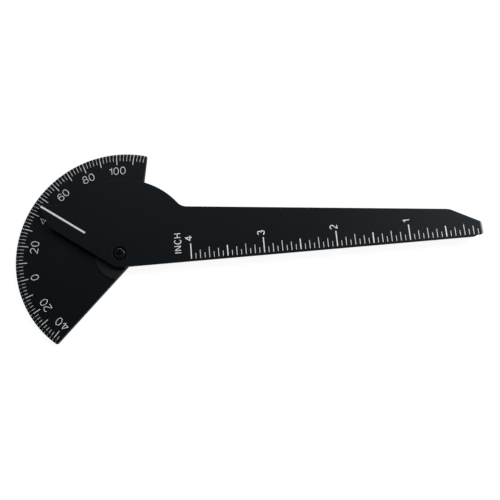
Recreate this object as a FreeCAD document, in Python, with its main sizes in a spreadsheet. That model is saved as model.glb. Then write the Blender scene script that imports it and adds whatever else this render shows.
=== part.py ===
import FreeCAD, Part
import math
import os

import Sketcher

# Finger goniometer: a toothed protractor plate and a ruler arm that turn on one screw.
# Millimetres and degrees. The pivot is the Z axis, the back face of the protractor plate
# is z = 0, and the ruler's straight edge runs along +X.

SIZES = [
    # straight edges and thicknesses
    ("edge_offset", 4.85, "distance of every straight edge from the pivot axis"),
    ("plate_thickness", 1.6, "protractor plate"),
    ("arm_thickness", 1.5, "ruler arm"),
    ("edge_round", 0.3, "rounding of the arm's edges"),
    ("edge_bevel", 0.25, "bevel of the protractor plate's edges"),
    # ruler arm
    ("ruler_length", 127.1, "pivot axis to the end of the ruler"),
    ("root_height", 17.3, "tapered edge above the pivot axis, at the pivot"),
    ("taper_angle", 5.7, "tapered edge against the straight edge"),
    ("end_height", 4.85, "width of the square end of the ruler"),
    ("end_slope_length", 10.8, "length of the slope down to the square end"),
    ("nose_length", 3.4, "length of the narrow nose under the square end"),
    ("nose_slope_length", 1.1, "length of the slope up to the nose"),
    ("nose_rise", 0.55, "height of that slope"),
    ("end_slope_round", 5.0, "round where the slope begins"),
    ("end_round", 0.8, "upper corner of the square end, and the nose's slope"),
    ("nose_round", 1.3, "lower corner of the square end"),
    ("end_roll", 1.1, "rounding of the square end's top edge"),
    ("head_radius", 26.9, "round head over the pivot"),
    ("neck_round", 4.5, "hollow round from the head to the tapered edge"),
    # pointer blade
    ("pointer_angle", 144.6, "pointer line against the ruler's straight edge"),
    ("pointer_reach", 34.3, "pivot axis to the pointer's tip"),
    ("pointer_slope", 32.0, "slope of the arrow against the pointer line"),
    ("arrow_tip_round", 0.4, "tip of the arrow"),
    ("arrow_shoulder_round", 1.0, "shoulder of the arrow on the open side"),
    ("arrow_root_round", 1.5, "hollow round from the head to the arrow"),
    # protractor plate
    ("rim_radius", 37.25, "tips of the teeth"),
    ("upper_edge_angle", 36.4, "second straight edge, in the plate's own frame"),
    ("rest_reading", 44.3, "angle that the plate is turned by at rest"),
    ("rim_corner_round", 0.4, "the two corners of the rim"),
    ("zero_angle", 146.1, "zero of the degree scale, in the plate's own frame"),
    ("tooth_pitch", 2.0, "angle from tooth to tooth, a notch at each mark of the scale"),
    ("tooth_depth", 1.1, "depth of the notches"),
    ("tooth_tip_width", 0.5, "width left at the tip of each tooth"),
    ("hub_radius", 9.1, "raised hub round the pivot"),
    ("hub_height", 0.4, "hub above the plate"),
    ("hub_bevel", 0.2, "bevel of the hub's top edge"),
    # pivot
    ("barrel_diameter", 3.0, "smooth barrel of the nut, the arm's bearing"),
    ("bearing_clearance", 0.05, "arm bore, round the barrel"),
    ("seat_clearance", 0.02, "plate bore and nut seat, round the nut"),
    ("running_gap", 0.07, "hub to the arm"),
    ("flange_flats", 5.5, "nut flange, across the flats"),
    ("flange_thickness", 0.8, "nut flange"),
    ("thread_diameter", 2.0, "bore of the nut"),
    ("thread_clearance", 0.02, "screw in the nut"),
    ("thread_floor", 0.6, "closed end of the nut"),
    ("counterbore_diameter", 4.7, "counterbore in the arm for the screw head"),
    ("counterbore_depth", 1.0, "counterbore in the arm for the screw head"),
    ("counterbore_bevel", 0.2, "bevel of the counterbore's mouth"),
    ("head_diameter", 3.9, "screw head"),
    ("head_height", 1.05, "screw head, just proud of the arm"),
    ("head_round", 0.35, "edge of the screw head"),
    ("shank_length", 1.8, "screw under its head"),
    ("cross_span", 2.2, "cross recess, tip to tip"),
    ("cross_width", 0.5, "width of a wing of the cross"),
    ("cross_depth", 0.5, "depth of the cross"),
    # washers in the hub's recess
    ("washer_diameter", 8.0, "both washers, outside"),
    ("washer_play", 0.2, "round the washers, outside and inside"),
    ("recess_depth", 0.5, "recess below the hub's top"),
    ("friction_washer_thickness", 0.2, "flat washer"),
    ("spring_washer_thickness", 0.2, "conical disc spring"),
]

doc = FreeCAD.newDocument("finger_goniometer")
sheet = doc.addObject("Spreadsheet::Sheet", "sizes")
for row, (alias, size, meaning) in enumerate(SIZES, start=1):
    sheet.set("A%d" % row, alias)
    sheet.set("B%d" % row, str(size))
    sheet.set("C%d" % row, meaning)
    sheet.setAlias("B%d" % row, alias)
doc.recompute()

# Heights that follow from the stack of pieces, as expressions in the sheet's sizes.
HUB_TOP = "(sizes.plate_thickness + sizes.hub_height)"
ARM_BASE = "(%s + sizes.running_gap)" % HUB_TOP
HEAD_SEAT = "(%s + sizes.arm_thickness - sizes.counterbore_depth)" % ARM_BASE
RECESS_FLOOR = "(%s - sizes.recess_depth)" % HUB_TOP
FRICTION_WASHER_BASE = "(%s - sizes.friction_washer_thickness)" % ARM_BASE
SPRING_HEIGHT = "(%s - %s)" % (FRICTION_WASHER_BASE, RECESS_FLOOR)
WASHER_BORE_RADIUS = "(sizes.barrel_diameter / 2 + sizes.washer_play)"
HALF_TURN = 180


def number(expression):
    """What an expression in the sheet's sizes comes to."""
    return float(sheet.evalExpression(expression))


def direction(degrees):
    angle = math.radians(degrees)
    return FreeCAD.Vector(math.cos(angle), math.sin(angle), 0)


# ---------------------------------------------------------------- sketches

def new_body(label):
    body = doc.addObject("PartDesign::Body", label)
    body.Label = label
    return body


def origin_feature(body, role):
    return next(item for item in body.Origin.OriginFeatures if item.Role == role)


def new_sketch(body, name, height="0", turn="0", plane="XY_Plane"):
    """Empty sketch on a plane of the body, raised and turned by expressions."""
    sketch = body.newObject("Sketcher::SketchObject", name)
    sketch.AttachmentSupport = [(origin_feature(body, plane), "")]
    sketch.MapMode = "FlatFace"
    offset = FreeCAD.Placement()
    offset.Base.z = number(height)
    offset.Rotation = FreeCAD.Rotation(FreeCAD.Vector(0, 0, 1), number(turn))
    sketch.AttachmentOffset = offset
    if height != "0":
        sketch.setExpression(".AttachmentOffset.Base.z", height)
    if turn != "0":
        sketch.setExpression(".AttachmentOffset.Rotation.Angle", turn)
    return sketch


def drive(sketch, constraint, expression):
    """Add a constraint whose value follows the sheet."""
    index = sketch.addConstraint(constraint)
    sketch.setExpression("Constraints[%d]" % index, expression)


def add_polygon(sketch, corners):
    """Closed outline through corners given as pairs of expressions."""
    points = [FreeCAD.Vector(number(x), number(y), 0) for x, y in corners]
    count = len(points)
    first = sketch.GeometryCount
    for start, end in zip(points, points[1:] + points[:1]):
        sketch.addGeometry(Part.LineSegment(start, end), False)
    for side in range(count):
        following = first + (side + 1) % count
        sketch.addConstraint(Sketcher.Constraint("Coincident", first + side, 2, following, 1))
    for side, (point, (x, y)) in enumerate(zip(points, corners)):
        line = first + side
        drive(sketch, Sketcher.Constraint("DistanceX", -1, 1, line, 1, point.x), x)
        drive(sketch, Sketcher.Constraint("DistanceY", -1, 1, line, 1, point.y), y)


def add_circle(sketch, radius):
    """Circle about the pivot, its radius an expression."""
    circle = Part.Circle(FreeCAD.Vector(), FreeCAD.Vector(0, 0, 1), number(radius))
    index = sketch.addGeometry(circle, False)
    sketch.addConstraint(Sketcher.Constraint("Coincident", index, 3, -1, 1))
    drive(sketch, Sketcher.Constraint("Radius", index, number(radius)), radius)


def add_rounding_waste(sketch, x, y, radius):
    """Outline of what a quarter round takes off the corner at x, y, all expressions."""
    inner_x, outer_x = ("(%s %s %s)" % (x, sign, radius) for sign in "-+")
    inner_y, outer_y = ("(%s %s %s)" % (y, sign, radius) for sign in "-+")
    corners = [(x, inner_y), (outer_x, inner_y), (outer_x, outer_y), (inner_x, outer_y), (inner_x, y)]
    points = [FreeCAD.Vector(number(along), number(up), 0) for along, up in corners]
    lines = [sketch.addGeometry(Part.LineSegment(start, end), False)
             for start, end in zip(points, points[1:])]
    for line, following in zip(lines, lines[1:]):
        sketch.addConstraint(Sketcher.Constraint("Coincident", line, 2, following, 1))
    ends = [(line, 1) for line in lines] + [(lines[-1], 2)]
    for (line, end), point, (along, up) in zip(ends, points, corners):
        drive(sketch, Sketcher.Constraint("DistanceX", -1, 1, line, end, point.x), along)
        drive(sketch, Sketcher.Constraint("DistanceY", -1, 1, line, end, point.y), up)
    centre = FreeCAD.Vector(number(inner_x), number(inner_y), 0)
    circle = Part.Circle(centre, FreeCAD.Vector(0, 0, 1), number(radius))
    arc = sketch.addGeometry(Part.ArcOfCircle(circle, 0, math.pi / 2), False)
    sketch.addConstraint(Sketcher.Constraint("Coincident", arc, 1, lines[0], 1))
    sketch.addConstraint(Sketcher.Constraint("Coincident", arc, 2, lines[-1], 2))
    drive(sketch, Sketcher.Constraint("Radius", arc, number(radius)), radius)


def add_rounded_sector(sketch, radius, first_angle, last_angle):
    """Sector between two straight edges that pass the pivot at edge_offset.

    The apex is an arc of that radius about the pivot, tangent to both edges.
    """
    rim_radius = number(radius)
    offset = number("sizes.edge_offset")
    first = number(first_angle)
    last = number(last_angle)
    run = math.sqrt(rim_radius ** 2 - offset ** 2)
    widening = math.degrees(math.asin(offset / rim_radius))
    apex_start = direction(last + HALF_TURN / 2) * offset
    apex_end = direction(first - HALF_TURN / 2) * offset
    first_end = apex_end + direction(first) * run
    last_end = apex_start + direction(last) * run
    rim = Part.Circle(FreeCAD.Vector(), FreeCAD.Vector(0, 0, 1), rim_radius)
    apex = Part.Circle(FreeCAD.Vector(), FreeCAD.Vector(0, 0, 1), offset)
    rim_from = math.radians(first - widening)
    rim_to = math.radians(last + widening)
    apex_from = math.radians(last + HALF_TURN / 2)
    apex_to = math.radians(first - HALF_TURN / 2 + 2 * HALF_TURN)
    first_line = sketch.addGeometry(Part.LineSegment(apex_end, first_end), False)
    rim_arc = sketch.addGeometry(Part.ArcOfCircle(rim, rim_from, rim_to), False)
    last_line = sketch.addGeometry(Part.LineSegment(last_end, apex_start), False)
    apex_arc = sketch.addGeometry(Part.ArcOfCircle(apex, apex_from, apex_to), False)
    for arc in (rim_arc, apex_arc):
        sketch.addConstraint(Sketcher.Constraint("Coincident", arc, 3, -1, 1))
    sketch.addConstraint(Sketcher.Constraint("Coincident", first_line, 2, rim_arc, 1))
    sketch.addConstraint(Sketcher.Constraint("Coincident", rim_arc, 2, last_line, 1))
    sketch.addConstraint(Sketcher.Constraint("Tangent", last_line, 2, apex_arc, 1))
    sketch.addConstraint(Sketcher.Constraint("Tangent", apex_arc, 2, first_line, 1))
    drive(sketch, Sketcher.Constraint("Radius", rim_arc, rim_radius), radius)
    drive(sketch, Sketcher.Constraint("Radius", apex_arc, offset), "sizes.edge_offset")
    drive(sketch, Sketcher.Constraint("Angle", first_line, math.radians(first)), first_angle)
    last_slope = "%s - %d" % (last_angle, HALF_TURN)
    drive(sketch, Sketcher.Constraint("Angle", last_line, math.radians(last - HALF_TURN)), last_slope)


# ---------------------------------------------------------------- features

def check_added(body, before, name):
    if not body.Shape.Volume > before:
        raise RuntimeError("%s added nothing" % name)


def pad(body, sketch, length, down=False):
    before = body.Shape.Volume if body.Shape and not body.Shape.isNull() else 0
    feature = body.newObject("PartDesign::Pad", sketch.Name + "_pad")
    feature.Profile = sketch
    feature.Length = number(length)
    feature.setExpression("Length", length)
    feature.Reversed = down
    doc.recompute()
    check_added(body, before, feature.Name)
    return feature


def pocket(body, sketch, depth=None, up=False):
    """Cut a sketch downwards, or upwards, by a depth or through everything."""
    before = body.Shape.Volume
    feature = body.newObject("PartDesign::Pocket", sketch.Name + "_pocket")
    feature.Profile = sketch
    feature.Reversed = up
    if depth is None:
        feature.Type = "ThroughAll"
    else:
        feature.Length = number(depth)
        feature.setExpression("Length", depth)
    doc.recompute()
    if not body.Shape.Volume < before:
        raise RuntimeError("%s cut nothing" % feature.Name)
    return feature


def round_edges(body, name, edges, radius):
    """Fillet of one size on the named edges of the body's last feature."""
    base = body.Tip
    feature = body.newObject("PartDesign::Fillet", name)
    feature.Base = (base, edges)
    feature.Radius = number(radius)
    feature.setExpression("Radius", radius)
    doc.recompute()
    return feature


def bevel_edges(body, name, edges, width):
    """Chamfer of one width on the named edges of the body's last feature."""
    base = body.Tip
    feature = body.newObject("PartDesign::Chamfer", name)
    feature.Base = (base, edges)
    feature.Size = number(width)
    feature.setExpression("Size", width)
    doc.recompute()
    return feature


def upright_edge(body, place):
    """Name of the upright edge nearest to a place in the plan."""
    found = []
    for index, edge in enumerate(body.Tip.Shape.Edges, start=1):
        low, high = edge.BoundBox.ZMin, edge.BoundBox.ZMax
        upright = math.hypot(edge.BoundBox.XLength, edge.BoundBox.YLength) < (high - low) / 10
        if upright:
            middle = edge.CenterOfMass
            gap = math.hypot(middle.x - place.x, middle.y - place.y)
            found.append((gap, "Edge%d" % index))
    return min(found)[1]


def level_edges(body, height):
    """Names of the edges that lie at one height."""
    tolerance = 1e-4
    names = []
    for index, edge in enumerate(body.Tip.Shape.Edges, start=1):
        low, high = edge.BoundBox.ZMin, edge.BoundBox.ZMax
        if abs(low - height) < tolerance and abs(high - height) < tolerance:
            names.append("Edge%d" % index)
    return names


# ---------------------------------------------------------------- protractor plate

def make_protractor_plate():
    """Toothed sector with a raised hub, in the frame where the reading is zero."""
    body = new_body("protractor_plate")
    sector = new_sketch(body, "sector")
    add_rounded_sector(sector, "sizes.rim_radius", "sizes.upper_edge_angle", "180")
    pad(body, sector, "sizes.plate_thickness")

    radius = number("sizes.rim_radius")
    widening = math.degrees(math.asin(number("sizes.edge_offset") / radius))
    rim_start = number("sizes.upper_edge_angle") - widening
    rim_end = HALF_TURN + widening
    corners = [upright_edge(body, direction(angle) * radius) for angle in (rim_start, rim_end)]
    round_edges(body, "rim_corner_round", corners, "sizes.rim_corner_round")
    rims = level_edges(body, 0) + level_edges(body, number("sizes.plate_thickness"))
    bevel_edges(body, "plate_edge_bevel", rims, "sizes.edge_bevel")
    cut_rim_teeth(body, rim_start, rim_end)
    add_hub(body)

    body.Placement = FreeCAD.Placement(FreeCAD.Vector(), FreeCAD.Rotation(FreeCAD.Vector(0, 0, 1), 1))
    body.setExpression(".Placement.Rotation.Angle", "sizes.rest_reading")
    return body


def cut_rim_teeth(body, rim_start, rim_end):
    """One V notch in the rim, repeated by a polar pattern from corner to corner."""
    pitch = number("sizes.tooth_pitch")
    zero = number("sizes.zero_angle")
    # Both corners keep at least half a tooth.
    below_zero = int((zero - rim_start) / pitch - 0.5)
    above_zero = int((rim_end - zero) / pitch - 0.5)
    count = below_zero + 1 + above_zero
    notch = new_sketch(body, "rim_notch")
    notch.AttachmentOffset = FreeCAD.Placement(
        FreeCAD.Vector(), FreeCAD.Rotation(FreeCAD.Vector(0, 0, 1), zero - below_zero * pitch))
    half_mouth = "((sizes.rim_radius * sizes.tooth_pitch * pi / 180 - sizes.tooth_tip_width) / 2)"
    # The V opens past the rim by its own depth, at twice its width there.
    add_polygon(notch, [
        ("sizes.rim_radius - sizes.tooth_depth", "0"),
        ("sizes.rim_radius + sizes.tooth_depth", "-2 * %s" % half_mouth),
        ("sizes.rim_radius + sizes.tooth_depth", "2 * %s" % half_mouth),
    ])
    cut = pocket(body, notch, up=True)
    before = body.Shape.Volume
    pattern = body.newObject("PartDesign::PolarPattern", "rim_teeth")
    pattern.Originals = [cut]
    pattern.Axis = (origin_feature(body, "Z_Axis"), [""])
    pattern.Angle = (count - 1) * pitch
    pattern.Occurrences = count
    body.Tip = pattern
    doc.recompute()
    if not body.Shape.Volume < before:
        raise RuntimeError("the rim has no teeth")


def add_hub(body):
    """Raised hub, cut off flush by the straight edges, with the pivot's seats in it."""
    base = "(sizes.plate_thickness - sizes.edge_bevel)"
    hub = new_sketch(body, "hub", height=base)
    add_rounded_sector(hub, "sizes.hub_radius", "sizes.upper_edge_angle", "180")
    pad(body, hub, "sizes.hub_height + sizes.edge_bevel")
    bevel_edges(body, "hub_edge_bevel", level_edges(body, number(HUB_TOP)), "sizes.hub_bevel")

    recess = new_sketch(body, "washer_recess", height=HUB_TOP)
    add_circle(recess, "sizes.washer_diameter / 2 + sizes.washer_play")
    pocket(body, recess, "sizes.recess_depth")

    bore = new_sketch(body, "barrel_bore")
    add_circle(bore, "sizes.barrel_diameter / 2 + sizes.seat_clearance")
    pocket(body, bore, up=True)

    seat = new_sketch(body, "flange_seat")
    add_polygon(seat, hexagon("sizes.flange_flats + 2 * sizes.seat_clearance"))
    pocket(body, seat, "sizes.flange_thickness", up=True)


def hexagon(flats):
    """Corners of a hexagon about the pivot, from its size across the flats."""
    sides = 6
    step = 2 * HALF_TURN / sides
    reach = "((%s) / 2 / cos(%g))" % (flats, step / 2)
    return [
        ("%s * cos(%g)" % (reach, side * step), "%s * sin(%g)" % (reach, side * step))
        for side in range(sides)
    ]


# ---------------------------------------------------------------- ruler arm

def make_ruler_arm():
    """Ruler, round head and pointer blade of one thickness, above the hub."""
    body = new_body("ruler_arm")
    slope_start = "(sizes.ruler_length - sizes.end_slope_length)"
    slope_height = "(sizes.root_height - %s * tan(sizes.taper_angle))" % slope_start
    nose_start = "sizes.ruler_length - sizes.nose_length"
    ruler = new_sketch(body, "ruler")
    add_polygon(ruler, [
        ("0", "-sizes.edge_offset"),
        (nose_start, "-sizes.edge_offset"),
        (nose_start + " + sizes.nose_slope_length", "sizes.nose_rise - sizes.edge_offset"),
        ("sizes.ruler_length", "sizes.nose_rise - sizes.edge_offset"),
        ("sizes.ruler_length", "sizes.end_height - sizes.edge_offset"),
        (slope_start, slope_height),
        ("0", "sizes.root_height"),
    ])
    pad(body, ruler, "sizes.arm_thickness")

    head = new_sketch(body, "head")
    add_rounded_sector(head, "sizes.head_radius", "0", "sizes.pointer_angle")
    pad(body, head, "sizes.arm_thickness")

    # The blade is drawn with the pointer line along the sketch's own X axis. Its open side
    # follows the blade's straight edge, and its other side runs on into the head.
    shoulder = "(sizes.pointer_reach - sizes.edge_offset / tan(sizes.pointer_slope))"
    root = "(sizes.pointer_reach - 2 * sizes.edge_offset / tan(sizes.pointer_slope))"
    blade = new_sketch(body, "pointer_blade", turn="sizes.pointer_angle")
    add_polygon(blade, [
        ("0", "sizes.edge_offset"),
        ("0", "-2 * sizes.edge_offset"),
        (root, "-2 * sizes.edge_offset"),
        ("sizes.pointer_reach", "0"),
        (shoulder, "sizes.edge_offset"),
    ])
    pad(body, blade, "sizes.arm_thickness")
    round_arm_corners(body, slope_start, slope_height, shoulder)

    faces = level_edges(body, 0) + level_edges(body, number("sizes.arm_thickness"))
    round_edges(body, "arm_edge_round", faces, "sizes.edge_round")

    roll = new_sketch(body, "end_roll", height="sizes.edge_offset", plane="XZ_Plane")
    add_rounding_waste(roll, "sizes.ruler_length", "sizes.arm_thickness", "sizes.end_roll")
    pocket(body, roll)
    add_pivot_bore(body)
    body.setExpression(".Placement.Base.z", ARM_BASE)
    return body


def add_pivot_bore(body):
    """Bearing bore with a counterbore for the screw head, turned as one profile."""
    bore = "(sizes.barrel_diameter / 2 + sizes.bearing_clearance)"
    counterbore = "(sizes.counterbore_diameter / 2)"
    floor = "(sizes.arm_thickness - sizes.counterbore_depth)"
    profile = new_sketch(body, "pivot_bore", plane="XZ_Plane")
    add_polygon(profile, [
        ("0", "0"),
        (bore, "0"),
        (bore, floor),
        (counterbore, floor),
        (counterbore, "sizes.arm_thickness - sizes.counterbore_bevel"),
        (counterbore + " + sizes.counterbore_bevel", "sizes.arm_thickness"),
        ("0", "sizes.arm_thickness"),
    ])
    before = body.Shape.Volume
    groove = body.newObject("PartDesign::Groove", "pivot_bore_groove")
    groove.Profile = profile
    groove.ReferenceAxis = (profile, ["V_Axis"])
    groove.Angle = 2 * HALF_TURN
    doc.recompute()
    if not body.Shape.Volume < before:
        raise RuntimeError("the arm has no bore")


def round_arm_corners(body, slope_start, slope_height, shoulder):
    """Rounds of the arm's outline, each on its own corner."""
    length = number("sizes.ruler_length")
    offset = number("sizes.edge_offset")
    end_top = FreeCAD.Vector(length, number("sizes.end_height") - offset, 0)
    end_low = FreeCAD.Vector(length, number("sizes.nose_rise") - offset, 0)
    nose_start = FreeCAD.Vector(length - number("sizes.nose_length"), -offset, 0)
    nose_slope = FreeCAD.Vector(number("sizes.nose_slope_length"), number("sizes.nose_rise"), 0)
    places = (end_top, nose_start, nose_start + nose_slope)
    corners = [upright_edge(body, place) for place in places]
    round_edges(body, "end_round", corners, "sizes.end_round")
    round_edges(body, "nose_round", [upright_edge(body, end_low)], "sizes.nose_round")

    slope_corner = FreeCAD.Vector(number(slope_start), number(slope_height), 0)
    round_edges(body, "end_slope_round", [upright_edge(body, slope_corner)], "sizes.end_slope_round")

    # The head's circle meets the tapered edge, which passes the pivot at clear_distance.
    taper = number("sizes.taper_angle")
    clear_distance = number("sizes.root_height") * math.cos(math.radians(taper))
    along = math.degrees(math.acos(clear_distance / number("sizes.head_radius")))
    neck = direction(HALF_TURN / 2 - taper - along) * number("sizes.head_radius")
    round_edges(body, "neck_round", [upright_edge(body, neck)], "sizes.neck_round")

    pointer = direction(number("sizes.pointer_angle"))
    across = direction(number("sizes.pointer_angle") + HALF_TURN / 2)
    # The arrow's far side meets the head's circle.
    reach = number("sizes.pointer_reach")
    slope = number("sizes.pointer_slope")
    foot = reach * math.sin(math.radians(slope))
    turn = slope - math.degrees(math.asin(foot / number("sizes.head_radius")))
    root = direction(number("sizes.pointer_angle") + turn) * number("sizes.head_radius")
    round_edges(body, "arrow_root_round", [upright_edge(body, root)], "sizes.arrow_root_round")
    open_shoulder = pointer * number(shoulder) + across * offset
    round_edges(body, "arrow_shoulder_round", [upright_edge(body, open_shoulder)],
                "sizes.arrow_shoulder_round")
    round_edges(body, "arrow_tip_round", [upright_edge(body, pointer * reach)],
                "sizes.arrow_tip_round")


# ---------------------------------------------------------------- pivot

def make_pivot_nut():
    """Hexagonal flange flush with the back, smooth barrel up through the arm's bore."""
    body = new_body("pivot_nut")
    flange = new_sketch(body, "flange")
    add_polygon(flange, hexagon("sizes.flange_flats"))
    pad(body, flange, "sizes.flange_thickness")
    barrel = new_sketch(body, "barrel")
    add_circle(barrel, "sizes.barrel_diameter / 2")
    pad(body, barrel, HEAD_SEAT)
    thread = new_sketch(body, "thread_bore", height="sizes.thread_floor")
    add_circle(thread, "sizes.thread_diameter / 2")
    pocket(body, thread, up=True)
    body.Placement = FreeCAD.Placement(FreeCAD.Vector(), FreeCAD.Rotation(FreeCAD.Vector(0, 0, 1), 1))
    body.setExpression(".Placement.Rotation.Angle", "sizes.rest_reading")
    return body


def make_pivot_screw():
    """Screw whose head rests on the barrel, in the counterbore, and keeps the arm down."""
    body = new_body("pivot_screw")
    head = new_sketch(body, "screw_head")
    add_circle(head, "sizes.head_diameter / 2")
    pad(body, head, "sizes.head_height")
    top = level_edges(body, number("sizes.head_height"))
    round_edges(body, "head_edge_round", top, "sizes.head_round")
    shank = new_sketch(body, "shank")
    add_circle(shank, "sizes.thread_diameter / 2 - sizes.thread_clearance")
    pad(body, shank, "sizes.shank_length", down=True)

    wing = "sizes.cross_span / 2"
    side = "sizes.cross_width / 2"
    quarter = [(wing, "-" + side), (wing, side), (side, side)]
    cross = new_sketch(body, "cross_recess", height="sizes.head_height")
    add_polygon(cross, [turned(corner, turns) for turns in range(4) for corner in quarter])
    pocket(body, cross, "sizes.cross_depth")
    body.setExpression(".Placement.Base.z", HEAD_SEAT)
    return body


def turned(corner, quarter_turns):
    """A corner, given as expressions, after some quarter turns about the pivot."""
    x, y = corner
    for _ in range(quarter_turns):
        x, y = "-(%s)" % y, x
    return x, y


def make_friction_washer():
    """Flat washer that the arm slides on."""
    body = new_body("friction_washer")
    ring = new_sketch(body, "washer_ring")
    add_circle(ring, "sizes.washer_diameter / 2")
    add_circle(ring, WASHER_BORE_RADIUS)
    pad(body, ring, "sizes.friction_washer_thickness")
    body.setExpression(".Placement.Base.z", FRICTION_WASHER_BASE)
    return body


def make_spring_washer():
    """Conical disc spring, its outer edge on the recess floor."""
    body = new_body("spring_washer")
    outside = "sizes.washer_diameter / 2"
    profile = new_sketch(body, "spring_profile", plane="XZ_Plane")
    add_polygon(profile, [
        (outside, "0"),
        (outside, "sizes.spring_washer_thickness"),
        (WASHER_BORE_RADIUS, SPRING_HEIGHT),
        (WASHER_BORE_RADIUS, "%s - sizes.spring_washer_thickness" % SPRING_HEIGHT),
    ])
    ring = body.newObject("PartDesign::Revolution", "spring_ring")
    ring.Profile = profile
    ring.ReferenceAxis = (profile, ["V_Axis"])
    ring.Angle = 2 * HALF_TURN
    doc.recompute()
    check_added(body, 0, ring.Name)
    body.setExpression(".Placement.Base.z", RECESS_FLOOR)
    return body


# ---------------------------------------------------------------- build and export

pieces = [
    make_protractor_plate(),
    make_ruler_arm(),
    make_pivot_nut(),
    make_pivot_screw(),
    make_spring_washer(),
    make_friction_washer(),
]
doc.recompute()

for item in doc.Objects:
    if "Invalid" in item.State or "Error" in item.State:
        raise RuntimeError("%s failed: %s" % (item.Name, item.State))

os.makedirs("parts", exist_ok=True)
for piece in pieces:
    if piece.Shape.isNull() or not piece.Shape.isValid() or len(piece.Shape.Solids) != 1:
        raise RuntimeError("%s isn't one valid solid" % piece.Label)
    piece.Shape.exportStep(os.path.join("parts", piece.Label + ".step"))
    box = piece.Shape.BoundBox
    print("%-18s volume %9.3f  x %8.3f %8.3f  y %8.3f %8.3f  z %7.3f %7.3f" % (
        piece.Label, piece.Shape.Volume, box.XMin, box.XMax, box.YMin, box.YMax, box.ZMin, box.ZMax))
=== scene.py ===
import math

import bpy
from mathutils import Euler, Matrix, Vector


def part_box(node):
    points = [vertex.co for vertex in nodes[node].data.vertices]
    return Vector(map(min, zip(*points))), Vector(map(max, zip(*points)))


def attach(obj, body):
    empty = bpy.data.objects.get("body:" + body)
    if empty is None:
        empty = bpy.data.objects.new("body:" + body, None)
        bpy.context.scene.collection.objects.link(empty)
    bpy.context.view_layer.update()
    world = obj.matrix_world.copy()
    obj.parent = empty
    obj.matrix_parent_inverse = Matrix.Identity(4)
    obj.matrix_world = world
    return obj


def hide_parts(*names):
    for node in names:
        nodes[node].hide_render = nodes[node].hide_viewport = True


# Finger goniometer: its printed scales, the finish of each surface, and the studio.
# Metres, in the frame of the CAD pieces: the pivot is the Z axis, the back face of the
# protractor plate is z = 0, and the ruler's straight edge runs along +X.

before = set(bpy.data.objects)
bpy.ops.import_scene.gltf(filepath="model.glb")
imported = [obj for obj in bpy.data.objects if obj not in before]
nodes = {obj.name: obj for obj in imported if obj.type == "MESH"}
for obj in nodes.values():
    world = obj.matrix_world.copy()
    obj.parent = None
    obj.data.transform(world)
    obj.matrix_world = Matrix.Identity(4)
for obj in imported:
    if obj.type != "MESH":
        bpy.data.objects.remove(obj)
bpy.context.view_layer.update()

MM = 0.001
SLIGHT = 0.002 * MM             # places nearer than this are one place
INCH = 25.4 * MM
QUARTER_TURN = math.pi / 2

# ---------------------------------------------------------------- sizes

ARM_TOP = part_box("ruler_arm")[1].z
SCALE_ZERO = 126.57 * MM        # zero of the inch scale, just inside the ruler's end
STRAIGHT_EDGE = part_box("ruler_arm")[0].y
RULER_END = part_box("ruler_arm")[1].x
HUB_HEIGHT = 0.4 * MM
PLATE_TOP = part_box("protractor_plate")[1].z - HUB_HEIGHT
EDGE_SOFTENING = 0.3 * MM       # depth of the handled band round a piece's upper face
EDGE_START = 0.04 * MM          # where that band starts, below the face
PALER_BAND_DEPTH = 2 * EDGE_SOFTENING       # of the paler band, below a piece's upper face

# protractor plate, with a smooth bevelled rim
RIM_RADIUS = 37.24 * MM
RIM_BEVEL_WIDTH = 1.1 * MM
RIM_BEVEL_DROP = 0.4 * MM
RIM_CREASE = RIM_RADIUS - RIM_BEVEL_WIDTH
RIM_FACETS = 360
UPRIGHT = 0.9                   # least upward share of a normal that faces up
EDGE_OFFSET = -STRAIGHT_EDGE    # of every straight edge, from the pivot
PLATE_EDGES = (80.7, 224.3)     # directions of the plate's two straight edges, in degrees
PLATE_BEVEL = 0.12 * MM
BEVEL_SEGMENTS = 2
CORNER_ROUND = 0.34 * MM
CORNER_SEGMENTS = 4
APEX_SEGMENTS = 8
HUB_RADIUS = 9.1 * MM
HUB_FACETS = 180
HUB_BEVEL = 0.2 * MM
HUB_ROOT = 0.3 * MM             # depth of the hub's foot in the plate
RECESS_RADIUS = 4.2 * MM
RECESS_DEPTH = 0.5 * MM
RECESS_FACETS = 96
BORE_RADIUS = 1.52 * MM
BORE_FACETS = 64
SEAT_RADIUS = 3.2 * MM          # corners of the nut's hexagonal seat
SEAT_DEPTH = 0.8 * MM
SEAT_TURN = 14.3                # of the hexagon, in degrees
SEAT_SIDES = 6
SMOOTH_BELOW = 18               # degrees between facets that are shaded as one curve

# ink, which stands a little above the plastic and is keyed into it
INK_HEIGHT = 0.025 * MM
INK_DEPTH = 0.01 * MM
CREASE_BAND_WIDTH = 0.55 * MM             # width of the darker band where the marks cross the crease of the rim's bevel
MARK_CORNER = 0.3               # round of a mark's corners, in its widths
MARK_CORNER_SEGMENTS = 3

# degree scale on the protractor plate
ZERO_ANGLE = 190.4              # direction of the zero reading, in degrees
READINGS = range(-40, 117, 2)
LONG_READINGS = (-38, -28, *range(-20, 111, 10))
LONG_MARK = (4.15 * MM, 0.235 * MM)     # length and width; they run out to the rim
SHORT_MARK = (2.75 * MM, 0.14 * MM)
NUMBERS_RADIUS = 29.4 * MM      # foot of the numbers
NUMBER_HEIGHT = 2.87 * MM
NUMBER_STROKE = 0.23 * MM
NUMBER_WIDENING = 1.2
NUMBERED_READINGS = (-40, -20, 0, 20, 40, 60, 80, 100)
NUMBER_SHIFTS = {-40: 3.3, 40: 0.7}     # in degrees, so that -40 clears the plate's edge

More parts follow.
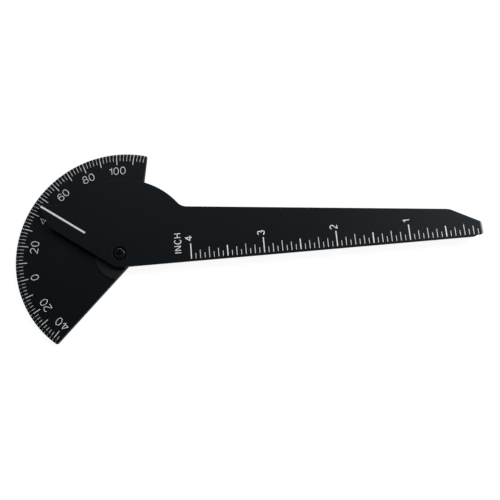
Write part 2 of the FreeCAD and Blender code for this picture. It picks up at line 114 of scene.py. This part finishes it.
# inch scale on the ruler
SIXTEENTHS = 64
MARKS_FOOT = STRAIGHT_EDGE + 0.75 * MM
INCH_MARKS = (                  # sixteenths between them, length, width
    (16, 5.4 * MM, 0.36 * MM),
    (8, 3.75 * MM, 0.38 * MM),
    (4, 3.7 * MM, 0.20 * MM),
    (2, 3.0 * MM, 0.20 * MM),
    (1, 1.9 * MM, 0.18 * MM),
)
INCH_NUMBER_HEIGHT = 2.7 * MM
INCH_NUMBER_STROKE = 0.34 * MM
INCH_NUMBER_SHIFT = 0.65 * MM   # foot of a number beyond its mark
INCH_NUMBER_MIDDLES = (2.6 * MM, 2.7 * MM, 2.95 * MM, 3.15 * MM)     # of 1 to 4, above the pivot
UNIT_WORD_FOOT = 21.75 * MM
UNIT_WORD_MIDDLE = 1.75 * MM
UNIT_WORD_HEIGHT = 2.5 * MM
UNIT_WORD_STROKE = 0.27 * MM

# pointer line on the blade
POINTER_ANGLE = 144.6           # direction of the line, in degrees
POINTER_LINE = (14.4 * MM, 33.5 * MM, 0.64 * MM)     # start, end, width


# ---------------------------------------------------------------- shader nodes

class Socket:
    """Output of a shader node. Arithmetic on it adds Math nodes."""

    def __init__(self, finish, output):
        self.finish = finish
        self.output = output

    def math(self, operation, *values):
        return self.finish.node("ShaderNodeMath", {"operation": operation}, dict(enumerate(values)))

    def __add__(self, other):
        return self.math("ADD", self, other)

    def __sub__(self, other):
        return self.math("SUBTRACT", self, other)

    def __rsub__(self, other):
        return self.math("SUBTRACT", other, self)

    def __mul__(self, other):
        return self.math("MULTIPLY", self, other)

    def __gt__(self, other):
        return self.math("GREATER_THAN", self, other)

    def __lt__(self, other):
        return self.math("LESS_THAN", self, other)

    __radd__ = __add__
    __rmul__ = __mul__


class Finish:
    """Node tree of a material or of the world."""

    def __init__(self, owner):
        owner.use_nodes = True
        self.owner = owner
        self.tree = owner.node_tree
        self.tree.nodes.clear()

    def node(self, kind, settings=None, inputs=None, output=0):
        """Add a node: its settings first, then the values or links of its inputs."""
        made = self.tree.nodes.new(kind)
        for name, value in (settings or {}).items():
            if name == "stops":
                self.set_stops(made.color_ramp, value)
            else:
                setattr(made, name, value)
        for name, value in (inputs or {}).items():
            if isinstance(value, Socket):
                self.tree.links.new(value.output, made.inputs[name])
            else:
                made.inputs[name].default_value = value
        return Socket(self, made.outputs[output]) if made.outputs else None

    @staticmethod
    def set_stops(ramp, stops):
        while len(ramp.elements) < len(stops):
            ramp.elements.new(1)
        for element, (place, grey) in zip(ramp.elements, stops):
            element.position = place
            element.color = (grey, grey, grey, 1)

    def place(self):
        return self.node("ShaderNodeTexCoord", output="Object")

    def noise(self, place, size, detail=2):
        """Smooth noise from 0 to 1, its lumps about as large as size."""
        return self.node("ShaderNodeTexNoise", None,
                         {"Vector": place, "Scale": 1 / size, "Detail": detail})

    def ramp(self, value, *stops):
        return self.node("ShaderNodeValToRGB", {"stops": stops}, {"Fac": value})

    def mix(self, factor, first, second):
        """Colour between two colours."""
        return self.node("ShaderNodeMix", {"data_type": "RGBA"},
                         {0: factor, 6: first, 7: second}, output=2)

    def bump(self, height, depth):
        return self.node("ShaderNodeBump", None, {"Height": height, "Distance": depth})

    def hairlines(self, place, turn, length, width, share):
        """Mask of fine straight scratches at one angle."""
        scale = (1 / length, 1 / width, 1 / length)
        turned = self.node("ShaderNodeMapping", None,
                           {"Vector": place, "Rotation": (0, 0, turn), "Scale": scale})
        lines = self.node("ShaderNodeTexNoise", None, {"Vector": turned, "Scale": 1, "Detail": 1})
        return self.ramp(lines, (1 - share, 0), (1 - share / 2, 1))

    def height_mask(self, place, low, high):
        """1 between two heights, 0 elsewhere."""
        height = self.node("ShaderNodeSeparateXYZ", None, {"Vector": place}, output="Z")
        return (height > low) * (height < high)

    def ring_mask(self, place, inner, outer):
        """1 between two distances from the pivot, 0 elsewhere."""
        distance = self.node("ShaderNodeVectorMath", {"operation": "LENGTH"},
                             {0: place}, output="Value")
        return (distance > inner) * (distance < outer)

    def surface(self, **sockets):
        """Principled surface; a keyword's underscores stand for the socket's spaces."""
        inputs = {name.replace("_", " "): value for name, value in sockets.items()}
        shader = self.node("ShaderNodeBsdfPrincipled", None, inputs)
        self.node("ShaderNodeOutputMaterial", None, {"Surface": shader})
        return self.owner


def new_finish(name):
    return Finish(bpy.data.materials.new(name))


# ---------------------------------------------------------------- finishes

# Fine lines are given as their turn, length, width and share of the surface.
PLASTIC_SHEEN = 0.18            # matt plastic that throws back little light
COOL_SHEEN = (0.78, 0.94, 1.0, 1)
PLASTIC_CLOUDS = 9 * MM
PLASTIC_GRAIN = 0.11 * MM
PLASTIC_RELIEF = 0.01 * MM
LONG_SCRATCHES = (0.6, 9 * MM, 0.07 * MM, 0.30)
CROSSING_SCRATCHES = (-0.9, 6 * MM, 0.06 * MM, 0.28)
PLATE_BLACK = ((0.0010, 0.0022, 0.0034, 1), (0.0026, 0.0044, 0.0060, 1))     # deep and worn
ARM_BLACK = ((0.0014, 0.0022, 0.0032, 1), (0.0034, 0.0044, 0.0058, 1))
# paler top of the hub
HUB_TOP_PALER = (0.0120, 0.0125, 0.0135, 1)
# painted highlight along the ruler's end, for the light that its rounded end catches
END_PAINTED_HIGHLIGHT = (0.34, 0.35, 0.37, 1)
END_HIGHLIGHT_LENGTH = 0.95 * MM

INK_CLOUDS = 0.5 * MM
INK_SPECKLE = 0.08 * MM
INK_RELIEF = 0.006 * MM
ARM_WHITE = ((0.62, 0.64, 0.66, 1), (0.90, 0.91, 0.92, 1))     # thin and full
PLATE_WHITE = ((0.54, 0.56, 0.58, 1), (0.77, 0.78, 0.80, 1))
# tone of the darker band where the marks cross the rim's crease
CREASE_TONE = (0.01, 0.01, 0.01, 1)
RIM_SPREAD = 12                 # brings a Y on the rim, in metres, to within -0.5 and 0.5
CREASE_DARKENING_SHARE = ((0.40, 0.98), (0.54, 0.55))     # how much the band darkens, low and high on the rim

OXIDE_BLACK = (0.028, 0.029, 0.032, 1)
OXIDE_RUBBED = (0.34, 0.35, 0.37, 1)
OXIDE_CLOUDS = 0.6 * MM
OXIDE_GRAIN = 0.07 * MM
OXIDE_RELIEF = 0.004 * MM
CROWN_HEIGHT = 0.25 * MM        # of the screw's head, where it is worn

NUT_STEEL = (0.56, 0.56, 0.54, 1)
SPRING_STEEL = (0.42, 0.41, 0.39, 1)
STEEL_CLOUDS = 1.5 * MM
STEEL_DULLING = 0.75
STEEL_RELIEF = 0.003 * MM
MACHINING_MARKS = (0.2, 4 * MM, 0.05 * MM, 0.5)

NYLON_TONES = ((0.66, 0.63, 0.55, 1), (0.76, 0.74, 0.68, 1))
NYLON_CLOUDS = 1.2 * MM
NYLON_RELIEF = 0.01 * MM


def black_plastic(name, deep, worn, top, paler_zone, paler_tone):
    """Moulded black plastic with a fine matt grain, a few hairlines and handled edges.

    Beyond a given distance along an axis, the upper face is painted paler: a painted highlight on
    the ruler's end, a paler top on the hub.
    """
    finish = new_finish(name)
    place = finish.place()
    clouds = finish.noise(place, PLASTIC_CLOUDS, 3)
    grain = finish.noise(place, PLASTIC_GRAIN)
    scratches = finish.hairlines(place, *LONG_SCRATCHES)
    crossing = finish.hairlines(place, *CROSSING_SCRATCHES)
    edge = finish.height_mask(place, top - EDGE_SOFTENING, top - EDGE_START)
    lines = scratches * 0.5 + crossing * 0.5
    colour = finish.mix(clouds * 0.5 + lines * 0.2 + edge * 0.1, deep, worn)
    # painted paler band on the upper face: a painted highlight on the ruler's end, a paler top on
    # the hub
    axis, beyond = paler_zone
    along = finish.node("ShaderNodeSeparateXYZ", None, {"Vector": place}, output=axis)
    upper = finish.height_mask(place, top - PALER_BAND_DEPTH, top + PALER_BAND_DEPTH)
    colour = finish.mix((along > beyond) * upper * (0.6 + clouds * 0.4), colour, paler_tone)
    roughness = 0.50 + clouds * 0.08 + grain * 0.06 + edge * 0.2 - lines * 0.06
    relief = grain * 0.5 - lines * 0.35
    return finish.surface(
        Base_Color=colour, Roughness=roughness, Specular_IOR_Level=PLASTIC_SHEEN,
        Specular_Tint=COOL_SHEEN, Normal=finish.bump(relief, PLASTIC_RELIEF))


def white_ink(name, thin_tone, full_tone, crease_radius=None):
    """Printed white, a little thin in places.

    Where a radius is given, a ring at that distance from the pivot is darker, more so towards low
    Y.
    """
    finish = new_finish(name)
    place = finish.place()
    cover = finish.noise(place, INK_CLOUDS, 3)
    speckle = finish.noise(place, INK_SPECKLE)
    thin = finish.ramp(cover * 0.7 + speckle * 0.3, (0.30, 0), (0.55, 1))
    colour = finish.mix(thin, thin_tone, full_tone)
    # darker band at the rim's crease, deeper towards low Y
    if crease_radius:
        gap = finish.ring_mask(place, crease_radius - CREASE_BAND_WIDTH / 2, crease_radius + CREASE_BAND_WIDTH / 2)
        across = finish.node("ShaderNodeSeparateXYZ", None, {"Vector": place}, output="Y")
        crease_darkening = finish.ramp(across * RIM_SPREAD + 0.5, *CREASE_DARKENING_SHARE)
        colour = finish.mix(gap * crease_darkening, colour, CREASE_TONE)
    roughness = 0.42 + speckle * 0.12
    return finish.surface(
        Base_Color=colour, Roughness=roughness, Normal=finish.bump(speckle, INK_RELIEF))


def blackened_steel(name, top):
    """Black oxide on steel, worn bright in specks on the crown of the head."""
    finish = new_finish(name)
    place = finish.place()
    oxide = finish.noise(place, OXIDE_CLOUDS, 3)
    fine = finish.noise(place, OXIDE_GRAIN)
    crown = finish.height_mask(place, top - CROWN_HEIGHT, top + SLIGHT)
    paler_zone = finish.ramp(fine * 0.6 + oxide * 0.4, (0.56, 0), (0.66, 1)) * crown
    colour = finish.mix(paler_zone * 0.6, OXIDE_BLACK, OXIDE_RUBBED)
    roughness = 0.19 + oxide * 0.08
    return finish.surface(
        Base_Color=colour, Metallic=0.85, Roughness=roughness,
        Normal=finish.bump(fine, OXIDE_RELIEF))


def bright_steel(name, colour):
    """Plated steel with fine machining marks."""
    finish = new_finish(name)
    place = finish.place()
    marks = finish.hairlines(place, *MACHINING_MARKS)
    clouds = finish.noise(place, STEEL_CLOUDS, 3)
    dull = [part * STEEL_DULLING for part in colour[:3]] + [1]
    return finish.surface(
        Base_Color=finish.mix(clouds * 0.6 + marks * 0.2, colour, dull), Metallic=1.0,
        Roughness=0.28 + clouds * 0.15 + marks * 0.06, Normal=finish.bump(marks, STEEL_RELIEF))


def nylon(name):
    """Natural nylon of the friction washer."""
    finish = new_finish(name)
    place = finish.place()
    clouds = finish.noise(place, NYLON_CLOUDS, 3)
    colour = finish.mix(clouds, *NYLON_TONES)
    return finish.surface(
        Base_Color=colour, Roughness=0.42 + clouds * 0.1, Normal=finish.bump(clouds, NYLON_RELIEF))


def dress_cad_pieces():
    finishes = {
        "protractor_plate": plate_plastic,
        # the ruler's end gets a painted highlight
        "ruler_arm": black_plastic(
            "arm_plastic", *ARM_BLACK, ARM_TOP, ("X", RULER_END - END_HIGHLIGHT_LENGTH), END_PAINTED_HIGHLIGHT),
        "pivot_screw": blackened_steel("screw_black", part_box("pivot_screw")[1].z),
        "pivot_nut": bright_steel("nut_steel", NUT_STEEL),
        "spring_washer": bright_steel("spring_steel", SPRING_STEEL),
        "friction_washer": nylon("washer_nylon"),
    }
    for name, material in finishes.items():
        for slot in nodes[name].material_slots:
            slot.material = material


# ---------------------------------------------------------------- protractor plate

def select_only(*pieces):
    bpy.ops.object.select_all(action="DESELECT")
    for piece in pieces:
        piece.select_set(True)
    bpy.context.view_layer.objects.active = pieces[0]


def discard(*pieces):
    for piece in pieces:
        bpy.data.objects.remove(piece)


def direction(degrees):
    angle = math.radians(degrees)
    return Vector((math.cos(angle), math.sin(angle), 0))


def upright_cylinder(radius, low, high, facets, turn=0):
    """Cylinder about the pivot, between two heights, with its place in its mesh."""
    bpy.ops.object.select_all(action="DESELECT")
    bpy.ops.mesh.primitive_cylinder_add(
        vertices=facets, radius=radius, depth=high - low,
        location=(0, 0, (low + high) / 2), rotation=(0, 0, math.radians(turn)))
    bpy.ops.object.transform_apply()
    return bpy.context.object


def deselect_mesh(piece, kind):
    """Deselect all of a piece's mesh, and set whether its edges or faces get selected."""
    select_only(piece)
    bpy.ops.object.mode_set(mode="EDIT")
    bpy.ops.mesh.select_mode(type=kind)
    bpy.ops.mesh.select_all(action="DESELECT")
    bpy.ops.object.mode_set(mode="OBJECT")


def bevel_where(piece, chosen, width, segments):
    """Bevel the edges of a piece whose two ends pass a test."""
    deselect_mesh(piece, "EDGE")
    corners = piece.data.vertices
    for edge in piece.data.edges:
        edge.select = chosen(*(corners[index].co for index in edge.vertices))
    bpy.ops.object.mode_set(mode="EDIT")
    bpy.ops.mesh.bevel(offset=width, segments=segments, affect="EDGES")
    bpy.ops.object.mode_set(mode="OBJECT")


def at_height(height, reach=RIM_RADIUS + SLIGHT):
    """Test for an edge at one height with an end nearer to the pivot than reach."""
    return lambda start, end: (
        max(abs(start.z - height), abs(end.z - height)) < SLIGHT
        and min(start.xy.length, end.xy.length) < reach)


def upright_at(place):
    """Test for the upright edge at one place."""
    return lambda start, end: max((start.xy - place.xy).length, (end.xy - place.xy).length) < SLIGHT


def bevelled_disc():
    """Disc of the plate's thickness, its rim bevelled from the top."""
    disc = upright_cylinder(RIM_RADIUS, 0, PLATE_TOP - RIM_BEVEL_DROP, RIM_FACETS)
    deselect_mesh(disc, "FACE")
    for face in disc.data.polygons:
        face.select = face.normal.z > UPRIGHT
    bpy.ops.object.mode_set(mode="EDIT")
    bpy.ops.mesh.extrude_region_move(TRANSFORM_OT_translate={"value": (0, 0, RIM_BEVEL_DROP)})
    share = RIM_CREASE / RIM_RADIUS
    bpy.ops.transform.resize(value=(share, share, 1))
    bpy.ops.object.mode_set(mode="OBJECT")
    return disc


def cut_to_sector(sector):
    """Cut a disc by the plate's two straight edges, round where they meet behind the pivot."""
    select_only(sector)
    bpy.ops.object.mode_set(mode="EDIT")
    for turn in (PLATE_EDGES[0] - 90, PLATE_EDGES[1] + 90):
        outwards = direction(turn)
        bpy.ops.mesh.select_all(action="SELECT")
        bpy.ops.mesh.bisect(
            plane_co=outwards * EDGE_OFFSET, plane_no=outwards, use_fill=True, clear_outer=True)
    bpy.ops.object.mode_set(mode="OBJECT")
    opening = math.radians(PLATE_EDGES[1] - PLATE_EDGES[0]) / 2
    apex = direction(sum(PLATE_EDGES) / 2 + 180) * EDGE_OFFSET / math.sin(opening)
    bevel_where(sector, upright_at(apex), EDGE_OFFSET / math.tan(opening), APEX_SEGMENTS)


def combine(piece, tool, operation):
    """Add a tool's shape to a piece, or cut it out of the piece."""
    change = piece.modifiers.new(operation, "BOOLEAN")
    change.operation = operation
    change.solver = "EXACT"
    change.object = tool
    select_only(piece)
    bpy.ops.object.modifier_apply(modifier=change.name)
    discard(tool)


def make_plate():
    """Smooth-rimmed sector with its hub, and the pivot's seats in it."""
    plate = bevelled_disc()
    cut_to_sector(plate)
    widening = math.degrees(math.asin(EDGE_OFFSET / RIM_RADIUS))
    for turn in (PLATE_EDGES[0] - widening, PLATE_EDGES[1] + widening):
        corner = direction(turn) * RIM_RADIUS
        bevel_where(plate, upright_at(corner), CORNER_ROUND, CORNER_SEGMENTS)
    bevel_where(plate, at_height(0), PLATE_BEVEL, BEVEL_SEGMENTS)
    inside_crease = at_height(PLATE_TOP, RIM_CREASE - SLIGHT)
    bevel_where(plate, inside_crease, PLATE_BEVEL, BEVEL_SEGMENTS)
    hub_top = PLATE_TOP + HUB_HEIGHT
    hub = upright_cylinder(HUB_RADIUS, PLATE_TOP - HUB_ROOT, hub_top, HUB_FACETS)
    cut_to_sector(hub)
    bevel_where(hub, at_height(hub_top), HUB_BEVEL, BEVEL_SEGMENTS)
    combine(plate, hub, "UNION")
    above = hub_top + HUB_HEIGHT
    below = -HUB_HEIGHT
    recess = upright_cylinder(RECESS_RADIUS, hub_top - RECESS_DEPTH, above, RECESS_FACETS)
    combine(plate, recess, "DIFFERENCE")
    bore = upright_cylinder(BORE_RADIUS, below, above, BORE_FACETS)
    combine(plate, bore, "DIFFERENCE")
    seat = upright_cylinder(SEAT_RADIUS, below, SEAT_DEPTH, SEAT_SIDES, SEAT_TURN)
    combine(plate, seat, "DIFFERENCE")
    select_only(plate)
    bpy.ops.object.shade_smooth_by_angle(angle=math.radians(SMOOTH_BELOW))
    plate.name = plate.data.name = "smooth_plate"
    plate.data.materials.append(plate_plastic)
    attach(plate, "protractor")
    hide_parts("protractor_plate")


# ---------------------------------------------------------------- printing

def printed_bar(length, width):
    """Bar of ink along +X from the origin, on the plane z = 0, with soft corners."""
    bpy.ops.object.select_all(action="DESELECT")
    bpy.ops.mesh.primitive_plane_add(size=1)
    bar = bpy.context.object
    bpy.ops.object.mode_set(mode="EDIT")
    bpy.ops.transform.resize(value=(length, width, 1))
    bpy.ops.transform.translate(value=(length / 2, 0, -INK_DEPTH))
    bpy.ops.mesh.bevel(
        offset=width * MARK_CORNER, segments=MARK_CORNER_SEGMENTS, affect="VERTICES")
    bpy.ops.mesh.extrude_region_move(
        TRANSFORM_OT_translate={"value": (0, 0, INK_DEPTH + INK_HEIGHT)})
    bpy.ops.mesh.select_all(action="SELECT")
    bpy.ops.mesh.normals_make_consistent(inside=False)
    bpy.ops.object.mode_set(mode="OBJECT")
    return bar


def copy_to(source, place):
    """Copy of a piece with its own mesh, carried to a place."""
    made = bpy.data.objects.new(source.name, source.data.copy())
    made.data.transform(place)
    bpy.context.scene.collection.objects.link(made)
    return made


def fold_over_rim(bar, length):
    """Fold the outer end of a mark down along the rim's bevel."""
    fold = length - RIM_BEVEL_WIDTH
    select_only(bar)
    bpy.ops.object.mode_set(mode="EDIT")
    bpy.ops.mesh.select_all(action="SELECT")
    bpy.ops.mesh.bisect(plane_co=(fold, 0, 0), plane_no=(1, 0, 0))
    bpy.ops.object.mode_set(mode="OBJECT")
    for corner in bar.data.vertices:
        corner.co.z -= max(0, corner.co.x - fold) * RIM_BEVEL_DROP / RIM_BEVEL_WIDTH


def printed_piece(name, copies, body, material):
    """Join printed copies to one piece that rides on a body."""
    select_only(*copies)
    bpy.ops.object.join()
    piece = bpy.context.object
    piece.name = piece.data.name = name
    piece.data.materials.clear()
    piece.data.materials.append(material)
    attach(piece, body)


def at_reading(reading, radius):
    """Place on the plate's face: +X outwards along the reading's direction."""
    turn = Matrix.Rotation(math.radians(ZERO_ANGLE - reading), 4, "Z")
    return turn @ Matrix.Translation((radius, 0, PLATE_TOP))


def make_degree_marks():
    long_bar = printed_bar(*LONG_MARK)
    short_bar = printed_bar(*SHORT_MARK)
    fold_over_rim(long_bar, LONG_MARK[0])
    fold_over_rim(short_bar, SHORT_MARK[0])
    marks = []
    for reading in READINGS:
        is_long = reading in LONG_READINGS
        length = (LONG_MARK if is_long else SHORT_MARK)[0]
        bar = long_bar if is_long else short_bar
        marks.append(copy_to(bar, at_reading(reading, RIM_RADIUS - length)))
    discard(long_bar, short_bar)
    printed_piece("degree_marks", marks, "protractor", rim_ink)


def make_inch_marks():
    bars = {step: printed_bar(length, width) for step, length, width in INCH_MARKS}
    upright = Matrix.Rotation(QUARTER_TURN, 4, "Z")
    marks = []
    for sixteenth in range(1, SIXTEENTHS + 1):
        step = next(step for step, _, _ in INCH_MARKS if sixteenth % step == 0)
        foot = Vector((SCALE_ZERO - sixteenth * INCH / 16, MARKS_FOOT, ARM_TOP))
        marks.append(copy_to(bars[step], Matrix.Translation(foot) @ upright))
    discard(*bars.values())
    printed_piece("inch_marks", marks, "arm", arm_ink)


def make_pointer_line():
    start, end, width = POINTER_LINE
    bar = printed_bar(end - start, width)
    turn = Matrix.Rotation(math.radians(POINTER_ANGLE), 4, "Z")
    placed = copy_to(bar, turn @ Matrix.Translation((start, 0, ARM_TOP)))
    discard(bar)
    printed_piece("pointer_line", [placed], "arm", plate_ink)


# ---------------------------------------------------------------- numbers and words

def line(*points):
    return [Vector((x, y, 0)) for x, y in points]


ARC_STEP = 12                   # about this many degrees between the points of an arc


def arc(x, y, wide, high, start, end):
    """Part of an oval about (x, y), from one angle to another in degrees."""
    steps = max(2, round(abs(end - start) / ARC_STEP))
    angles = [math.radians(start + (end - start) * step / steps) for step in range(steps + 1)]
    return [Vector((x + wide * math.cos(a), y + high * math.sin(a), 0)) for a in angles]


# Middle lines of each character's strokes, in heights of that middle line. x = 0 is the
# character's middle and y = 0 its foot.
CHARACTERS = {
    "0": [arc(0, 0.5, 0.27, 0.5, 0, 360)],
    "1": [line((0.07, 0), (0.07, 1)), arc(-0.22, 1, 0.29, 0.27, -90, 0)],
    "2": [arc(0, 0.72, 0.27, 0.28, 165, -40) + line((-0.27, 0.02)), line((-0.29, 0), (0.28, 0))],
    "3": [arc(-0.01, 0.76, 0.24, 0.24, 160, -100), arc(-0.01, 0.26, 0.28, 0.26, 100, -160)],
    "4": [line((0.12, 1), (-0.34, 0.3)), line((-0.36, 0.29), (0.36, 0.29)),
          line((0.12, 0), (0.12, 1))],
    "6": [arc(0, 0.31, 0.27, 0.31, 0, 360), arc(0.03, 0.45, 0.30, 0.55, 190, 38)],
    "8": [arc(0, 0.76, 0.23, 0.24, 0, 360), arc(0, 0.26, 0.27, 0.26, 0, 360)],
    "I": [line((0, 0), (0, 1))],
    "N": [line((-0.32, 0), (-0.32, 1)), line((-0.32, 1), (0.32, 0)),
          line((0.32, 0), (0.32, 1))],
    "C": [arc(0, 0.5, 0.36, 0.5, 42, 318)],
    "H": [line((-0.32, 0), (-0.32, 1)), line((-0.32, 0.52), (0.32, 0.52)),
          line((0.32, 0), (0.32, 1))],
}
CHARACTER_GAP = 1.1             # between characters, in stroke widths beyond the stroke


def ink_section(width):
    """Flat section of a printed stroke, to run along a curve."""
    half = width / 2
    low, high = -INK_DEPTH, INK_HEIGHT
    edge = half - INK_HEIGHT
    corners = [(-half, low), (half, low), (half, 0), (edge, high), (-edge, high), (-half, 0)]
    shape = bpy.data.curves.new("ink_section", "CURVE")
    shape.dimensions = "2D"
    spline = shape.splines.new("POLY")
    spline.points.add(len(corners) - 1)
    for point, (x, y) in zip(spline.points, corners):
        point.co = (x, y, 0, 1)
    spline.use_cyclic_u = True
    section = bpy.data.objects.new("ink_section", shape)
    bpy.context.scene.collection.objects.link(section)
    return section


def printed_character(character, height, stroke, widening, section):
    """One character as flat strokes of ink, its foot's middle at the origin."""
    shape = bpy.data.curves.new("character", "CURVE")
    shape.dimensions = "3D"
    shape.twist_mode = "Z_UP"
    shape.bevel_mode = "OBJECT"
    shape.bevel_object = section
    shape.use_fill_caps = True
    for points in CHARACTERS[character]:
        closed = (points[0] - points[-1]).length < stroke
        if closed:
            points = points[:-1]
        spline = shape.splines.new("POLY")
        spline.points.add(len(points) - 1)
        for place, point in zip(spline.points, points):
            x, y, _ = point * (height - stroke)
            place.co = (x * widening, y + stroke / 2, 0, 1)
        spline.use_cyclic_u = closed
    made = bpy.data.objects.new("character", shape)
    bpy.context.scene.collection.objects.link(made)
    select_only(made)
    bpy.ops.object.convert(target="MESH")
    return bpy.context.object


def character_reach(character):
    """Lowest and highest x of a character's middle lines."""
    across = [point.x for points in CHARACTERS[character] for point in points]
    return min(across), max(across)


def printed_word(word, height, stroke, widening=1):
    """Characters side by side, the middle of the word's foot at the origin."""
    section = ink_section(stroke)
    size = (height - stroke) * widening
    gap = stroke * (1 + CHARACTER_GAP)
    pieces = []
    end = 0
    for character in word:
        low, high = character_reach(character)
        piece = printed_character(character, height, stroke, widening, section)
        piece.data.transform(Matrix.Translation((end - low * size, 0, 0)))
        end += (high - low) * size + stroke + gap
        pieces.append(piece)
    width = end - stroke - gap
    discard(section)
    select_only(*pieces)
    bpy.ops.object.join()
    made = bpy.context.object
    made.data.transform(Matrix.Translation((-width / 2, 0, 0)))
    return made


def make_degree_numbers():
    outwards = Matrix.Rotation(-QUARTER_TURN, 4, "Z")
    numbers = []
    for reading in NUMBERED_READINGS:
        number = printed_word(str(abs(reading)), NUMBER_HEIGHT, NUMBER_STROKE, NUMBER_WIDENING)
        middle = reading + NUMBER_SHIFTS.get(reading, 0)
        numbers.append(copy_to(number, at_reading(middle, NUMBERS_RADIUS) @ outwards))
        discard(number)
    printed_piece("degree_numbers", numbers, "protractor", plate_ink)


def ruler_word(made, foot, middle):
    """Place a word on the ruler so that it reads from the straight edge up."""
    turned = Matrix.Rotation(QUARTER_TURN, 4, "Z")
    placed = copy_to(made, Matrix.Translation((foot, middle, ARM_TOP)) @ turned)
    discard(made)
    return placed


def make_inch_numbers():
    numbers = []
    for inches, middle in enumerate(INCH_NUMBER_MIDDLES, start=1):
        foot = SCALE_ZERO - inches * INCH + INCH_NUMBER_SHIFT
        number = printed_word(str(inches), INCH_NUMBER_HEIGHT, INCH_NUMBER_STROKE)
        numbers.append(ruler_word(number, foot, middle))
    printed_piece("inch_numbers", numbers, "arm", arm_ink)


def make_unit_word():
    word = printed_word("INCH", UNIT_WORD_HEIGHT, UNIT_WORD_STROKE)
    placed = ruler_word(word, UNIT_WORD_FOOT, UNIT_WORD_MIDDLE)
    printed_piece("unit_word", [placed], "arm", arm_ink)


# ---------------------------------------------------------------- studio

FLOOR_SIZE = 4.0
FLOOR_GAP = 0.03 * MM
FLOOR_COLOUR = (0.90, 0.90, 0.90, 1)        # as it throws light on the object
FLOOR_SEEN = (0.14, 0.14, 0.14, 1)          # as it is looked at, which keeps the shadow
FLOOR_GLOW = (0.93, 0.93, 0.93, 1)          # and its glow, which makes it white

# Brightness of the studio's walls: by height, and by nearness to the bright side.
WALLS = ((0.25, 1.0), (0.5, 0.6), (0.7, 0.14), (0.9, 0.03))
SIDES = ((0.45, 0.15), (0.95, 1.0))
BRIGHT_SIDE = (0.5, 0.0, 0.0)

LAMP_TARGET = (0.05, 0, 0)
LAMPS = (                       # name, place, diameter, power in watts
    ("key", (0.67, 0.30, 0.42), 0.35, 6.0),
    ("fill", (-0.10, 0.60, 0.60), 0.50, 2.6),
)

CAMERA_PLACE = (44.722 * MM, -29.981 * MM, 157.234 * MM)
CAMERA_TURN = (10.005, 0.633, -4.950)       # in degrees
CAMERA_LENS = 32.4                          # focal length in millimetres
CAMERA_NEAREST = 10 * MM


def make_floor():
    """White table: it keeps its shadow, and renders white where nothing shades it."""
    bpy.ops.object.select_all(action="DESELECT")
    bpy.ops.mesh.primitive_plane_add(size=FLOOR_SIZE, location=(0, 0, -FLOOR_GAP))
    floor = bpy.context.object
    floor.name = "table"
    finish = new_finish("table_white")
    camera_ray = finish.node("ShaderNodeLightPath", output="Is Camera Ray")
    glossy_ray = finish.node("ShaderNodeLightPath", output="Is Glossy Ray")
    passing_ray = finish.node("ShaderNodeLightPath", output="Is Transmission Ray")
    white = finish.node("ShaderNodeBsdfDiffuse", None, {"Color": FLOOR_COLOUR})
    seen_white = finish.node("ShaderNodeBsdfDiffuse", None, {"Color": FLOOR_SEEN})
    glow = finish.node("ShaderNodeEmission", None, {"Color": FLOOR_GLOW})
    seen = finish.node("ShaderNodeAddShader", None, {0: seen_white, 1: glow})
    reflected = camera_ray.math("MAXIMUM", camera_ray, glossy_ray)
    looked_at = camera_ray.math("MAXIMUM", reflected, passing_ray)
    shader = finish.node("ShaderNodeMixShader", None, {0: looked_at, 1: white, 2: seen})
    finish.node("ShaderNodeOutputMaterial", None, {"Surface": shader})
    floor.data.materials.append(finish.owner)


def make_sky():
    """Studio round the table: bright walls on the right, darker elsewhere, a dark ceiling."""
    finish = Finish(bpy.context.scene.world or bpy.data.worlds.new("studio"))
    bpy.context.scene.world = finish.owner
    way = finish.node("ShaderNodeTexCoord", output="Generated")
    height = finish.node("ShaderNodeSeparateXYZ", None, {"Vector": way}, output="Z")
    across = finish.node("ShaderNodeVectorMath", {"operation": "DOT_PRODUCT"},
                         {0: way, 1: BRIGHT_SIDE}, output="Value")
    side = finish.ramp(across + 0.5, *SIDES)
    walls = finish.ramp(height, *WALLS)
    background = finish.node("ShaderNodeBackground", None, {"Color": walls * side, "Strength": 1})
    finish.node("ShaderNodeOutputWorld", None, {"Surface": background})


def make_lamp(name, place, diameter, power):
    light = bpy.data.lights.new(name, "AREA")
    light.shape = "DISK"
    light.size = diameter
    light.energy = power
    lamp = bpy.data.objects.new(name, light)
    bpy.context.scene.collection.objects.link(lamp)
    lamp.location = place
    aim = Vector(LAMP_TARGET) - Vector(place)
    lamp.rotation_euler = aim.to_track_quat("-Z", "Y").to_euler()


def make_camera():
    lens = bpy.data.cameras.new("camera")
    lens.lens = CAMERA_LENS
    lens.clip_start = CAMERA_NEAREST
    camera = bpy.data.objects.new("camera", lens)
    bpy.context.scene.collection.objects.link(camera)
    camera.location = CAMERA_PLACE
    camera.rotation_euler = Euler([math.radians(turn) for turn in CAMERA_TURN])
    bpy.context.scene.camera = camera


# ---------------------------------------------------------------- the whole

arm_ink = white_ink("arm_print", *ARM_WHITE)
plate_ink = white_ink("plate_print", *PLATE_WHITE)
rim_ink = white_ink("rim_print", *PLATE_WHITE, RIM_CREASE)
# the hub's top is paler than the rest of the plate
plate_plastic = black_plastic(
    "plate_plastic", *PLATE_BLACK, PLATE_TOP, ("Z", PLATE_TOP + HUB_HEIGHT / 2), HUB_TOP_PALER)
dress_cad_pieces()

make_plate()
make_degree_marks()
make_degree_numbers()
make_inch_marks()
make_inch_numbers()
make_unit_word()
make_pointer_line()

make_floor()
make_sky()
for lamp in LAMPS:
    make_lamp(*lamp)
make_camera()
bpy.context.scene.view_settings.view_transform = "Standard"
